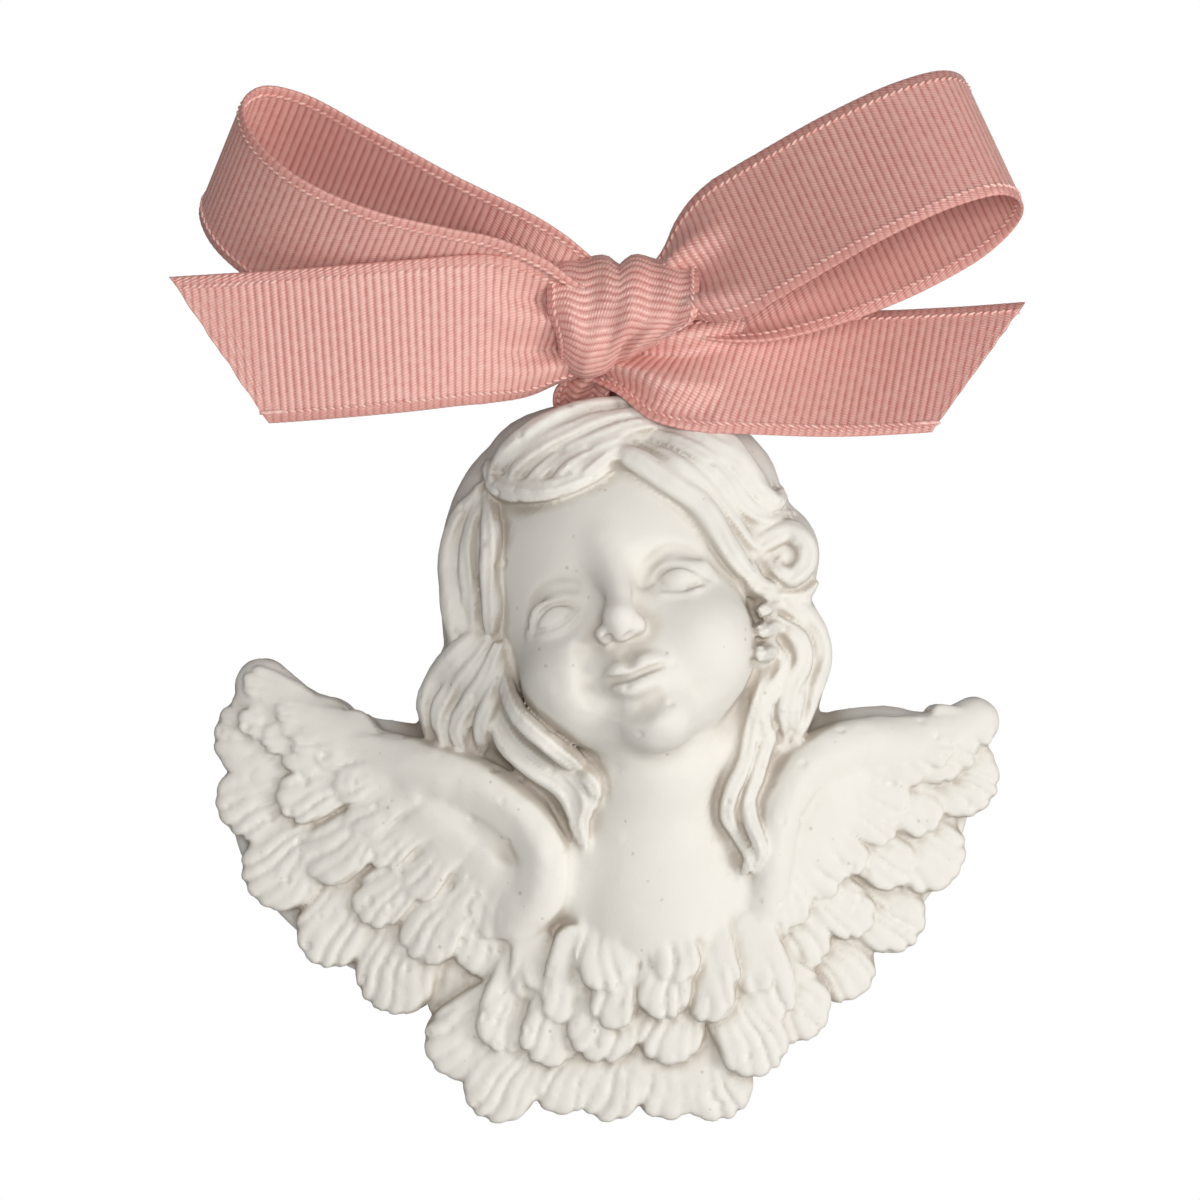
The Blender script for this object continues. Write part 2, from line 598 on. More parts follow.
# Cuts after the lips: between them, below them, above them and beside the mouth, each with how soft it is.
LIP_CUTS = (
    ([[-2.3, -28.9, 0.3, 0.3], [-1.1, -28.5, 0.7, 0.42], [0.7, -28.2, 0.5, 0.34], [2.3, -27.5, 0.5, 0.32],
      [4, -26.9, 0.3, 0.3]], 0.35),
    ([[-0.6, -31.2, 0.15, 0.9], [1.1, -31.5, 0.35, 1], [3, -30.6, 0.15, 0.9]], 1.8),
    ([[0.3, -25.6, 0.2, 0.5], [0.6, -26.6, 0.2, 0.5]], 0.8),
    ([[-3.5, -25.3, 0.2, 0.8], [-3.3, -27.4, 0.5, 0.9], [-3, -29.4, 0.6, 0.9], [-1.9, -31, 0.3, 0.8]], 1.6),
)


def face(f):
    """The lids, nostrils and lips, laid on the skull or cut into it."""
    ground = f.tops(0)
    for lids, melted in ((UPPER_LIDS, 0.9), (LOWER_LIDS, 0.6)):
        for lid in lids:
            lay(f, ground, lid, melted)
    for fold in LID_FOLDS:
        score(f, ground, fold, 0.9)
    eyes = f.tops(0)
    for outline in EYE_OUTLINES:
        score(f, eyes, outline, 0.25)
    for x, y, deep in PITS:
        score(f, ground, [[x - 0.15, y - 0.1, deep, 0.36], [x + 0.15, y + 0.1, deep, 0.36]], 0.5)
    lay(f, ground, UPPER_LIP, 1)
    lay(f, ground, LOWER_LIP, 1.2)
    lips = f.tops(0)
    for cut, melted in LIP_CUTS:
        score(f, lips, cut, melted)


# Each strand of hair as its points [x, y, how far its top stands above what it lies on, half width].
HAIR = {
    "right waves": [
        [[13.9, -21.6, 0.8, 0.7], [15.4, -20.9, 1, 1.1], [17.6, -21.6, 1, 1.3], [19.3, -23.8, 0.9, 1.3],
         [19.7, -26.4, 0.9, 1.3], [19, -29, 0.9, 1.2], [18.2, -32, 0.9, 1], [17.4, -34.4, 0.7, 0.6]],
        [[13.8, -23.6, 0.9, 0.7], [15.4, -23.1, 1.1, 1.1], [17.2, -24.4, 1.2, 1.2], [17.7, -26.6, 1.1, 1.2],
         [16.8, -29, 1.1, 1.2], [16, -31.4, 1, 1.1], [16.2, -34, 0.9, 0.8]],
        [[13.6, -25.8, 0.9, 0.7], [14.8, -25.8, 1.1, 1], [15.6, -27, 1.1, 1], [14.8, -29, 1.1, 1.1],
         [13.8, -31, 1.1, 1], [14, -33.2, 1, 0.9], [15, -35.4, 0.8, 0.7]],
        [[17.8, -28.4, 1.1, 0.8], [17.2, -31.2, 1.1, 0.9], [17.4, -33.8, 0.9, 0.5]],
    ],
    "upper right": [
        [[3.4, -2, 0.5, 0.9], [7, -3, 0.5, 1.2], [10.2, -5, 1, 1.3], [12.4, -7.4, 1.2, 1.2],
         [14, -9.6, 1.2, 0.9]],
        [[4.6, -3.4, 0.8, 0.9], [8, -4.8, 1, 1.2], [10.8, -6.6, 1.5, 1.3], [13, -9.4, 1.5, 1.3],
         [15, -10.8, 1.3, 1.1], [15.6, -9.9, 1.1, 0.8]],
        [[3.4, -4.4, 1.2, 0.9], [7, -6, 1.6, 1.2], [9.8, -8.6, 1.8, 1.3], [12, -11.4, 1.8, 1.3],
         [14.4, -12.6, 1.6, 1.1], [16.2, -12, 1.2, 0.8]],
        [[1.8, -5.2, 1.2, 0.9], [5.4, -7.2, 1.8, 1.2], [8.6, -9.8, 2, 1.3], [10.6, -12.8, 2, 1.3],
         [12.4, -15.2, 1.9, 1.2], [14.4, -15.4, 1.5, 0.9]],
    ],
    "knob": [
        [[12.6, -17, 1.4, 0.9], [14, -14.9, 1.8, 1.1], [16.4, -13.6, 1.8, 1.2], [18, -14.7, 1.6, 1.2],
         [18.2, -16.8, 1.5, 1.2], [16.8, -18.2, 1.6, 1.1], [15.4, -17.4, 1.8, 0.9], [15.6, -16.2, 1.9, 0.8]],
        [[12.2, -16.6, 1.6, 0.9], [13, -18.8, 1.7, 1.2], [15.2, -19.8, 1.5, 1.2], [17.6, -19.8, 1.2, 1.1],
         [18.8, -19, 1, 0.8]],
    ],
    "face edge right": [
        [[-0.8, -6, 1.6, 1], [0.6, -6.3, 2.2, 1.3], [4, -8.3, 2, 1.4], [7.4, -10.8, 1.9, 1.4],
         [9.5, -13.8, 1.8, 1.3], [11.4, -16.6, 1.6, 1.1], [13.2, -18.8, 1.3, 0.9], [14.6, -20.6, 0.8, 0.6]],
    ],
    "forelock": [
        [[4, -0.9, 0.8, 0.8], [0, -1.1, 1, 1.1], [-4.8, -1.9, 1.2, 1.2], [-8.6, -3.5, 1.4, 1.2],
         [-11.4, -5.8, 1.6, 1.2], [-12.7, -8, 1.8, 1]],
        [[4.9, -2.2, 0.9, 0.8], [0.2, -2.3, 1.5, 1], [-4, -3.4, 1.9, 1.1], [-7.6, -5.2, 2.1, 1.1],
         [-10.2, -7.4, 2.1, 1], [-11.4, -9, 1.9, 0.8]],
        [[4, -3, 1.1, 0.8], [0.2, -3.6, 1.8, 1], [-2.8, -4.7, 2.3, 1], [-5.8, -6.3, 2.5, 1],
         [-8.4, -8.2, 2.4, 0.9], [-9.6, -9.5, 2, 0.7]],
        [[1.8, -4, 1.6, 0.8], [-1, -5, 2.2, 0.9], [-3.2, -6.2, 2.6, 0.9], [-5.6, -7.7, 2.6, 0.9],
         [-7.2, -9.2, 2.1, 0.7]],
        [[0.4, -5.2, 1.8, 0.7], [-1.6, -6.3, 2.4, 0.8], [-3.4, -7.6, 2.4, 0.8], [-4.8, -8.6, 2.1, 0.6]],
        [[-13.2, -7.4, 1.2, 0.9], [-12.4, -9, 1.5, 1.1], [-10.2, -9.7, 1.6, 1.1], [-7.4, -9.5, 1.6, 1],
         [-4.7, -8.7, 1.6, 0.9], [-2.2, -7.5, 1.5, 0.8], [-0.8, -6.4, 1.2, 0.6]],
    ],
    "left side": [
        [[-14.2, -9.6, 0.8, 0.9], [-16.3, -12.8, 0.9, 1.3], [-17.2, -16.8, 0.9, 1.3], [-17, -21, 0.9, 1.3],
         [-16.6, -24.4, 1, 1]],
        [[-14, -10.6, 1.1, 0.8], [-14.9, -13.6, 1.3, 1.1], [-15.2, -17, 1.3, 1.2], [-14.8, -20.4, 1.3, 1.2],
         [-14.8, -23.2, 1.1, 0.8]],
        [[-13.4, -10, 1.3, 0.7], [-13.2, -14, 1.6, 1], [-13.3, -17.8, 1.6, 1], [-13.1, -21.4, 1.5, 0.9],
         [-13.2, -24, 1.2, 0.7]],
    ],
    "left over the wing": [
        [[-13.8, -23.4, 1, 0.9], [-16.4, -25.6, 1.2, 1.2], [-18.5, -28.4, 1.2, 1.3], [-19.6, -31, 1.1, 1.2],
         [-19.4, -33.6, 0.9, 0.8]],
        [[-13.1, -24.2, 1.2, 0.9], [-14.9, -26.9, 1.5, 1.1], [-16.9, -29.6, 1.5, 1.2],
         [-18.2, -32, 1.3, 1.1], [-18, -34.8, 1, 0.7]],
        [[-12.3, -25.3, 1.4, 0.8], [-13.5, -28.1, 1.6, 1], [-15.2, -30.8, 1.6, 1.1], [-16.4, -33.2, 1.3, 1],
         [-16.2, -35.2, 1, 0.7]],
        [[-12, -27, 1.5, 0.8], [-12.9, -29.8, 1.6, 1], [-13.9, -32.4, 1.5, 1], [-14.2, -35, 1.1, 0.8]],
    ],
    "left of the neck": [
        [[-13.1, -31.6, 1.1, 0.8], [-11.8, -34.8, 1.4, 1], [-9.2, -37.2, 1.5, 1.1], [-6.3, -39.4, 1.4, 1],
         [-5, -42, 1.2, 0.8], [-4.6, -44.4, 0.9, 0.5]],
        [[-12.6, -29.6, 1.3, 0.8], [-10.9, -33.4, 1.7, 1.1], [-8.2, -36, 1.9, 1.2], [-5.2, -38.2, 1.8, 1.2],
         [-3.7, -40.4, 1.6, 1], [-4.2, -43, 1.3, 0.8], [-3.6, -45.6, 0.9, 0.5]],
        [[-12, -28, 1.3, 0.7], [-10.2, -32.2, 1.6, 0.9], [-7.4, -34.8, 1.8, 1], [-4.6, -36.9, 1.7, 1],
         [-2.9, -38.9, 1.4, 0.9], [-2.8, -40.8, 1, 0.6]],
    ],
    "right of the neck": [
        [[14.4, -27, 0.2, 0.5], [13.5, -30, 0.6, 0.8], [12.9, -33, 0.9, 0.9], [12.2, -36.4, 1.3, 0.9],
         [10.8, -39.6, 1.5, 0.9], [10.5, -42, 1.4, 0.9], [11.6, -44.4, 1.3, 0.7], [12.6, -46.4, 1.1, 0.6],
         [11.8, -48.4, 0.8, 0.4]],
        [[14.8, -33, 0.4, 0.6], [14.2, -35.4, 0.9, 0.8], [13.3, -38, 1.3, 0.9], [12.4, -40.4, 1.5, 0.9],
         [12.9, -42.9, 1.4, 0.9], [13.8, -45.3, 1.2, 0.7], [13.2, -47.4, 0.9, 0.5]],
    ],
}
# How flat the strands are, shares of their rise and half width, and how far their two ends sink in.
HAIR_FLAT = 0.8
HAIR_RISE = 0.62
HAIR_WIDE = 1.12
HAIR_ENDS = -0.4
HAIR_GROOVE = 0.26
# What fills the gaps at the roots of the locks: [x, y, z, half width, half length].
HAIR_FILLS = (
    (14.2, -17.2, 9.4, 1.6, 1.6), (13.1, -13.9, 9.4, 1.3, 1.3), (13.5, -23.8, 10.4, 1.7, 4),
    (13.8, -28.6, 8, 2, 3.6), (16.2, -35.3, 5.6, 1.9, 1.9),
)
HAIR_FILL_DEPTH = 4.2
# The small dent in the crown.
DENT_X, DENT_Y = 4.5, -2.4


def hair_mass(f):
    """The bulk under the locks."""
    mass(f, [-1.2, -14.2, 5], [16.6, 13.6, 10.4], 1.5)
    mass(f, [-1, -38, 0], [17, 15, 8], 1.5)
    mass(f, [3.5, -9, 5], [11.8, 8.2, 11], 2)
    f.add(Ball([-5.4, -5.8, 9], [7.6, 4.6, 6.4]), 2)
    mass(f, [9.6, -9.4, 7], [6.6, 5, 6.2], 2, -42)
    mass(f, [14, -14.4, 6], [4.4, 4.2, 6.4], 2)
    mass(f, [14.4, -16.8, 5], [4.6, 5.6, 7], 1.5)
    mass(f, [-14, -21, 4], [4.2, 11, 8.4], 1.5)
    mass(f, [-15.4, -31.5, 3], [4.6, 6.4, 7], 1.5)
    mass(f, [14.9, -27, 3], [5.4, 8.8, 8.6], 1.5)
    mass(f, [16.5, -16.2, 6.5], [3.2, 4.4, 5.6], 1)
    f.add(Ball([16.3, -16.3, 9.6], [1.9, 1.9, 3.2]), 1.2)
    mass(f, [13.8, -16.2, 8], [3.6, 3.8, 4.8], 1.2)
    mass(f, [15.6, -23.4, 5], [3.8, 4.4, 6.6], 1.2)
    mass(f, [-11.2, -27.6, 5], [2.7, 6.6, 8.2], 1.5)
    mass(f, [13.5, -37.5, 5], [2.6, 7.5, 5], 1.5)
    f.add(Strand([
        [-13, -22, 8.4, 2.6], [-12.2, -28, 8.8, 2.8], [-9.8, -33, 9, 3], [-6.4, -36.8, 9, 2.8],
        [-4, -40, 8.4, 2.2],
    ], stand=True), 2.4)
    f.add(Strand([
        [12.6, -20, 9.4, 2.4], [13, -27, 9, 2.8], [12.2, -33, 9, 2.6], [11.8, -40, 8.4, 2],
    ], stand=True), 2.4)


def hair(f):
    """Each strand lies on what is carved so far, and shares its height with its neighbours."""
    ground = f.tops(1.3)
    for strands in HAIR.values():
        for i, points in enumerate(strands):
            wide = [[x, y, rise * HAIR_RISE, r * HAIR_WIDE] for x, y, rise, r in points]
            wide[0][2] = wide[-1][2] = HAIR_ENDS
            lay(f, ground, wide, 0.4, HAIR_FLAT, stand=True, groove=HAIR_GROOVE, phase=1.9 * i)
    for x, y, z, half, long in HAIR_FILLS:
        f.add(Ball([x, y, z], [half, long, HAIR_FILL_DEPTH]), 1)
    f.carve(Ball([DENT_X, DENT_Y, ground.at(DENT_X, DENT_Y) + 1.6], [1.3, 0.9, 1.9]), 0.6)


CARVED_BOX = (-45, -77, -2), (40, 3, 30)
HOLE_HALF = 1.25


def carved_cast(cell):
    """The whole carving, with its flat back and the hole for the ribbon."""
    carving = Carving(*CARVED_BOX, cell)
    for part in (body, left_wing, right_wing, breast, hair_mass, skull, face, hair):
        part(carving)
    for path in (NECK_DOWN, NECK_UP):
        for aside in (-1.8, -0.6, 0.6, 1.8):
            carving.carve(Strand([[x + aside, y, z, HOLE_HALF] for x, y, z in path]), 0.2)
    out = (carving.low[2] + cell * np.arange(carving.value.shape[2])).astype(np.float32)
    carving.value = melt_max(carving.value, np.broadcast_to(-out, carving.value.shape), 0.4)
    return carving


def slope(carving, points):
    """The direction away from the surface at each point."""
    steps = np.eye(3) * carving.cell
    return unit(np.stack([carving.at(points + a) - carving.at(points - a) for a in steps], -1))


def mesh_from(name, points, faces, attributes=()):
    """A mesh object in metres, with a number or a direction for each point under each attribute's name."""
    mesh = bpy.data.meshes.new(name)
    mesh.from_pydata(np.asarray(points).tolist(), [], faces)
    for key, values in dict(attributes).items():
        values = np.asarray(values, np.float32)
        kind = "FLOAT" if values.ndim == 1 else "FLOAT_VECTOR"
        mesh.attributes.new(key, kind, "POINT").data.foreach_set(
            "value" if values.ndim == 1 else "vector", values.ravel()
        )
    mesh.shade_smooth()
    mesh.update()
    obj = bpy.data.objects.new(name, mesh)
    bpy.context.scene.collection.objects.link(obj)
    return obj


# How far out of the surface free space is looked for, to tell the hollows.
LOOKED = (0.8, 1.8, 3.6)
# The face's own ellipsoid, which is kept smooth: its middle from the head's, and its radii.
FACE_MIDDLE = (0, 1, 3)
FACE_RADII = (12.5, 14, 14)
# What counts as the flat back, and the least and largest radius of a pin hole.
BACK = 0.3
PORE = (0.3, 0.55)


def cast_object(settings):
    """The carving as a mesh, a little uneven, with how hollow each point lies."""
    cell = settings.grid / MM
    carving = carved_cast(cell)
    grid = openvdb.FloatGrid(FAR)
    grid.copyFromArray(carving.value)
    points, triangles, quads = grid.convertToPolygons(0.0, settings.thrift)
    points = points.astype(float) * cell + carving.low
    out = slope(carving, points)
    free = sum(np.clip(carving.at(points + out * far) / far, 0, 1) for far in LOOKED) / len(LOOKED)
    on_face = np.linalg.norm((points - HEAD_AT - FACE_MIDDLE) / FACE_RADII, axis=1) < 1
    recess = smoothstep(0.15, 0.6, 1 - free) * np.where(on_face, 0.6, 1)
    on_back = points[:, 2] < BACK
    rough = np.where(on_face, 0.3, 1.0) * np.where(on_back, 0.4, 1.0)
    uneven = 0.09 * lumps(points, 1.7, 3) + 0.06 * lumps(points, 0.8, 4)
    points = points + out * (uneven * rough)[:, None] * settings.wear
    points = points - out * pores(points, out, on_face, settings)[:, None]
    points[on_back, 2] = np.maximum(points[on_back, 2], 0)
    faces = [face[::-1] for kind in (quads, triangles) for face in kind.tolist()]
    return mesh_from("plaster_cherub", to_object(points), faces, {"recess": recess})


def pores(points, out, on_face, settings):
    """How deep the small holes left by bubbles in the plaster are at each point."""
    rng = np.random.default_rng(11)
    deep = np.zeros(len(points))
    tree = KDTree(len(points))
    for i, p in enumerate(points):
        tree.insert(p, i)
    tree.balance()
    ahead = np.flatnonzero((out[:, 2] > -0.2) & (points[:, 2] > 1))
    for i in rng.choice(ahead, settings.pores, replace=False):
        if on_face[i]:
            continue
        radius = rng.uniform(*PORE)
        for _, j, far in tree.find_range(points[i], radius):
            deep[j] = max(deep[j], 0.55 * radius * (1 - (far / radius) ** 2))
    return deep


# The ribbon: strips of stations [x, y, z, the way across, share of the width], gathered at a small share

# Rows of points for each rib, and pieces of a strip's curve between two stations.
ROWS_PER_RIB = 6
STRIP_PIECES = 40
# Pleats: the share of the lost width that they take up, their greatest height, and the least width.
PLEAT_SHARE = 0.9
PLEAT_MOST = 1.15
LEAST_SHARE = 0.3
# The band round the knot: half its width, its way round, and its extra columns.
BAND_HALF = 7.5
BAND_ROUND = 36
BAND_COLUMNS = 10
# How far the edges are rounded out, as a share of the thickness.
EDGE_SHARE = 0.35


def loop_stations(reach, along, across, run, back=1.0):
    """A drop seen along the ribbon's width, from [share of the reach, offset, share of the width] rows."""
    forward = unit(np.array(along))
    wide = unit(np.array(across) - forward * np.dot(across, forward))
    out = np.cross(forward, wide)
    out = out if out[2] > 0 else -out
    rows = [[*(forward * share * reach + out * offset), *wide, width] for share, offset, width in run]
    for row in rows:
        row[2] *= back if row[2] < 0 else 1
    return rows


def tail_stations(reach, run):
    """Stations from the middle as shares of the reach, the way across and the share of the width."""
    return [
        [x * reach, y * reach, z * reach, *unit(np.array(across)), width] for x, y, z, across, width in run
    ]


LEFT_LOOP = loop_stations(43.3, [-0.926, 0.376, 0.04], [0.28, 0.68, 0.68], [
    [0.02, 0.9, 0.42], [0.12, 1.8, 0.55], [0.22, 2.8, 0.82], [0.33, 4.2, 0.98], [0.46, 6, 1], [0.65, 7.8, 1],
    [0.83, 7.2, 1], [0.95, 4.2, 1], [1, 0, 1], [0.97, -3.4, 1], [0.88, -4.6, 1], [0.7, -3.4, 1],
    [0.46, -1.6, 1], [0.3, -1, 0.95], [0.2, -0.9, 0.8], [0.12, -0.8, 0.6], [0.02, -0.8, 0.42],
])
RIGHT_LOOP = loop_stations(40.9, [0.89, 0.455, 0.12], [-0.42, 0.8, -0.42], [
    [0.02, 1, 0.4], [0.14, 2, 0.5], [0.22, 2.6, 0.8], [0.3, 3, 0.97], [0.49, 4, 1], [0.68, 4.6, 1],
    [0.86, 3.8, 1], [0.97, 1.4, 1], [1, -2, 1], [0.97, -6, 1], [0.86, -9.4, 1], [0.68, -10.4, 1],
    [0.49, -9, 1], [0.3, -6, 0.95], [0.2, -4.2, 0.8], [0.12, -2.6, 0.6], [0.02, -1, 0.42],
], back=0.45)
LEFT_TAIL = tail_stations(40.5, [
    [-0.02, -0.04, 0.02, [0, 1, 0.1], 0.45],
    [-0.12, -0.04, 0.055, [0.1, 1, 0.15], 0.62],
    [-0.22, -0.035, 0.1, [0.08, 1, 0.2], 0.88],
    [-0.34, -0.03, 0.15, [0.02, 1, 0.22], 1],
    [-0.56, -0.05, 0.185, [-0.05, 1, 0.15], 1],
    [-0.8, -0.07, 0.19, [-0.08, 1, 0.12], 1],
    [-1.12, -0.09, 0.18, [-0.08, 1, 0.1], 1],
])
RIGHT_TAIL = tail_stations(36, [
    [-0.06, -0.1, 0.0, [0.6, 1, 0], 0.36],
    [0.04, -0.12, 0.05, [0.55, 1, -0.1], 0.5],
    [0.15, -0.14, 0.07, [0.5, 1, -0.3], 0.78],
    [0.3, -0.135, 0.03, [0.35, 1, -0.42], 1],
    [0.63, -0.151, -0.07, [0.2, 1, -0.6], 1],
    [0.86, -0.142, -0.1, [0.2, 1, -0.62], 1],
    [1.16, -0.12, -0.12, [0.24, 1, -0.6], 1],
])
# Each tail's slanting cut, from its upper end to its lower one, from the knot's middle.
LEFT_CUT = [[-45.8, 5], [-34, -12.4]]
RIGHT_CUT = [[41.8, 3.6], [29.6, -13]]


def lengths(line):
    """How far along the line each of its points is."""
    return np.concatenate([[0], np.cumsum(np.linalg.norm(np.diff(line, axis=0), axis=1))])


def sampled(stations, step):
    """The stations at even steps along the middle, and how far along each is."""
    fine = smooth_curve(stations, (len(stations) - 1) * STRIP_PIECES)
    run = lengths(fine[:, :3])
    along = np.arange(0, run[-1], step)
    return np.stack([np.interp(along, run, column) for column in fine.T], -1), along


def strip(stations, settings, folds, phase=0.0, cut=None, start=0.0, press=1.0):
    """A grid of points along and across a strip. Where it is narrowed, pleats take up its width."""
    step = settings.rib_pitch / MM / ROWS_PER_RIB
    half = settings.width / MM / 2
    rows, along = sampled(stations, step)
    t = np.linspace(-1, 1, settings.columns)
    across = unit(rows[:, 3:6])
    share = np.clip(rows[:, 6], LEAST_SHARE, 1)
    forward = unit(np.gradient(rows[:, :3], axis=0))
    out = unit(np.cross(across, forward))
    height = PLEAT_SHARE * half / (math.pi * folds) * np.sqrt(2 * np.maximum(1 - share**2, 0))
    height = np.minimum(height, PLEAT_MOST) * press
    wave = np.sin(math.pi * folds * t + phase) - 0.3 * np.sin(2 * math.pi * folds * t + phase * 1.7)
    places = (
        rows[:, None, :3]
        + across[:, None, :] * (share * half)[:, None, None] * t[None, :, None]
        + out[:, None, :] * (height[:, None] * wave[None, :])[:, :, None]
    )
    along = np.repeat(along[:, None], len(t), axis=1)
    if cut is not None:
        places, along = trimmed(places, along, cut)
    return places, along + start, t


def trimmed(places, along, cut):
    """Ends each column at the slanting cut, with the rows drawn together over the last stretch."""
    top, bottom = np.array(cut) + [0, KNOT_RISE]
    way = bottom - top
    beyond = (places[..., 0] - top[0]) * way[1] - (places[..., 1] - top[1]) * way[0]
    beyond = beyond * np.sign(beyond[-1].mean())
    last = np.array([np.argmax(column > 0) for column in (beyond > 0).T])
    last = np.where(last > 0, last, len(places) - 1)
    first = int(last.min()) - 12
    count = int(last.max()) - first
    share = np.linspace(0, 1, count + 1)
    place_of = first + share[:, None] * (last - first)[None, :]
    low = np.floor(place_of).astype(int)
    low = np.minimum(low, len(places) - 2)
    t = place_of - low
    columns = np.arange(places.shape[1])[None, :]
    end = places[low, columns] * (1 - t)[..., None] + places[low + 1, columns] * t[..., None]
    end_along = along[low, columns] * (1 - t) + along[low + 1, columns] * t
    return np.concatenate([places[:first], end]), np.concatenate([along[:first], end_along])


def knot_wrap(settings, start):
    """The ribbon round the gathered middle: humped above, and drawn up to a tuck on the lower right."""
    step = settings.rib_pitch / MM / ROWS_PER_RIB
    columns = settings.columns + BAND_COLUMNS
    t = np.linspace(-1, 1, columns)
    x = BAND_HALF * t

    def hump(middle, wide):
        return np.exp(-(((x - middle) / wide) ** 2))

    top = 5.7 + 0.5 * hump(-2.2, 1.6) + 0.45 * hump(1.6, 1.3) - 0.7 * hump(-0.4, 0.7)
    top = top - 0.9 * smoothstep(3, 8, x) - 1.2 * smoothstep(5, 8, -x)
    bottom = 5.7 - 3.3 * smoothstep(-3, 8, x) - 1.8 * smoothstep(5.2, 8, -x)
    turn = np.linspace(-0.62, 2 * math.pi - 0.5, int(BAND_ROUND / step))[:, None]
    sine, cosine = np.sin(turn), np.cos(turn)
    up = np.where(cosine > 0, top, bottom) * np.sign(cosine) * np.abs(cosine) ** 0.85
    out = np.where(sine > 0, 5.4, 3.8) * np.sign(sine) * np.abs(sine) ** 0.55 * (1 - 0.1 * t**4)
    front = np.clip(sine, 0, 1) ** 0.5
    crease = hump(1.5 + 0.25 * (up + 3), 1.1) * smoothstep(0.5, -3.5, up)
    waves = 0.35 * np.sin(x * 0.95 + up * 0.35 + 0.6) + 0.16 * np.sin(x * 2.1 - up * 0.5)
    out = out + (waves - 1.3 * crease) * front
    up = up + (0.3 * np.sin(x * 0.8 + 0.9) + 0.12 * np.sin(x * 1.9)) * front
    # Below and behind, the ribbon is narrower, so its columns close up.
    drawn = 1 - 0.33 * smoothstep(0.2, -1, cosine) - 0.25 * smoothstep(0.1, -0.7, sine)
    places = np.stack([x * drawn - 1.3 * smoothstep(-0.1, -1, cosine), up, out], -1)
    along = np.repeat(lengths(places[:, columns // 2])[:, None], columns, axis=1)
    return places, along + start, t


def grid_directions(places):
    """The directions along, across and out of a grid of points."""
    down = np.gradient(places, axis=0)
    over = np.gradient(places, axis=1)
    return unit(down), unit(over), unit(np.cross(over, down))


def sheet_parts(grids, thickness):
    """Closed sheets of this thickness round the grids: points, faces, and places along and across."""
    all_points, all_faces, all_along, all_across = [], [], [], []
    first = 0
    for places, along, t in grids:
        rows, columns = along.shape
        _, over, out = grid_directions(places)
        upper = places + out * thickness / 2
        lower = places - out * thickness / 2
        right = places[:, -1:] + over[:, -1:] * thickness * EDGE_SHARE
        left = places[:, :1] - over[:, :1] * thickness * EDGE_SHARE
        ring = np.concatenate([upper, right, lower[:, ::-1], left], axis=1)
        ring_along = np.concatenate([along, along[:, -1:], along[:, ::-1], along[:, :1]], axis=1)
        edge = np.concatenate([t, [1.0], t[::-1], [-1.0]])
        around = ring.shape[1]
        at = first + np.arange(rows * around).reshape(rows, around)
        a = at[:-1].ravel()
        b = np.roll(at, -1, axis=1)[:-1].ravel()
        c = np.roll(at, -1, axis=1)[1:].ravel()
        d = at[1:].ravel()
        all_faces += np.stack([a, b, c, d], -1).tolist()
        last = 2 * columns
        for end, way in ((at[0].tolist(), -1), (at[-1].tolist(), 1)):
            caps = [[end[i], end[i + 1], end[last - 1 - i], end[last - i]] for i in range(columns - 1)]
            caps += [[end[columns - 1], end[columns], end[columns + 1]], [end[0], end[last], end[-1]]]
            all_faces += [cap[::way] for cap in caps]
        all_points.append(ring.reshape(-1, 3))
        all_along.append(ring_along.ravel())
        all_across.append(np.tile(edge, rows))
        first += rows * around
    return np.concatenate(all_points), all_faces, np.concatenate(all_along), np.concatenate(all_across)


def knot_relative(stations):
    """Moves stations given from the knot's middle to their place."""
    return [[x, y + KNOT_RISE, z + KNOT_OUT, *rest] for x, y, z, *rest in stations]


# Where the ribbon runs down behind the crown, out at the back and up again, gathered to go through the hole.
HOLE_X, HOLE_MOUTH, HOLE_EXIT, FLUSH = -2.6, 9.2, -12.4, 0.75
NECK_DOWN = [
    [-0.6, KNOT_RISE, KNOT_OUT],
    [-2.4, KNOT_RISE - 5, KNOT_OUT + 0.2],
    [HOLE_X - 1.6, 0.2, HOLE_MOUTH + 0.4],
    [HOLE_X, HOLE_EXIT / 2, HOLE_MOUTH * 0.54],
    [HOLE_X, HOLE_EXIT, FLUSH],
]
NECK_UP = [
    [HOLE_X, HOLE_EXIT - 0.5, FLUSH],
    [HOLE_X, HOLE_EXIT / 2, FLUSH],
    [HOLE_X, -1, FLUSH],
    [HOLE_X, KNOT_RISE * 0.35, FLUSH + 2.4],
    [-0.6, KNOT_RISE, KNOT_OUT - 1.5],
]


def neck(path, share):
    """Stations with the ribbon's width from right to left."""
    return [[*p, -1, 0, 0, share] for p in path]


def bow_grids(settings):
    """Every strip of the one ribbon, in the order it runs, as grids in drawn millimetres."""
    made = []
    start = 0.0
    for stations, how in (
        (knot_relative(LEFT_TAIL), dict(folds=2.5, phase=0.4, cut=LEFT_CUT)),
        (knot_relative(LEFT_LOOP), dict(folds=2.5, phase=1.1)),
        (knot_relative(RIGHT_LOOP), dict(folds=2, phase=2.4)),
        (knot_relative(RIGHT_TAIL), dict(folds=2, phase=0.2, cut=RIGHT_CUT)),
        (neck(NECK_DOWN, 0.36), dict(folds=2, phase=0.8, press=0.5)),
        (neck(NECK_UP, 0.32), dict(folds=3, press=0.45)),
    ):
        grid = strip(stations, settings, start=start, **how)
        made.append(grid)
        start = float(grid[1].max())
    wrap, along, t = knot_wrap(settings, start)
    made.append((wrap + [0, KNOT_RISE, KNOT_OUT], along, t))
    return made


# Geometry Nodes: the ribs woven across the ribbon, and the stitches along its edges


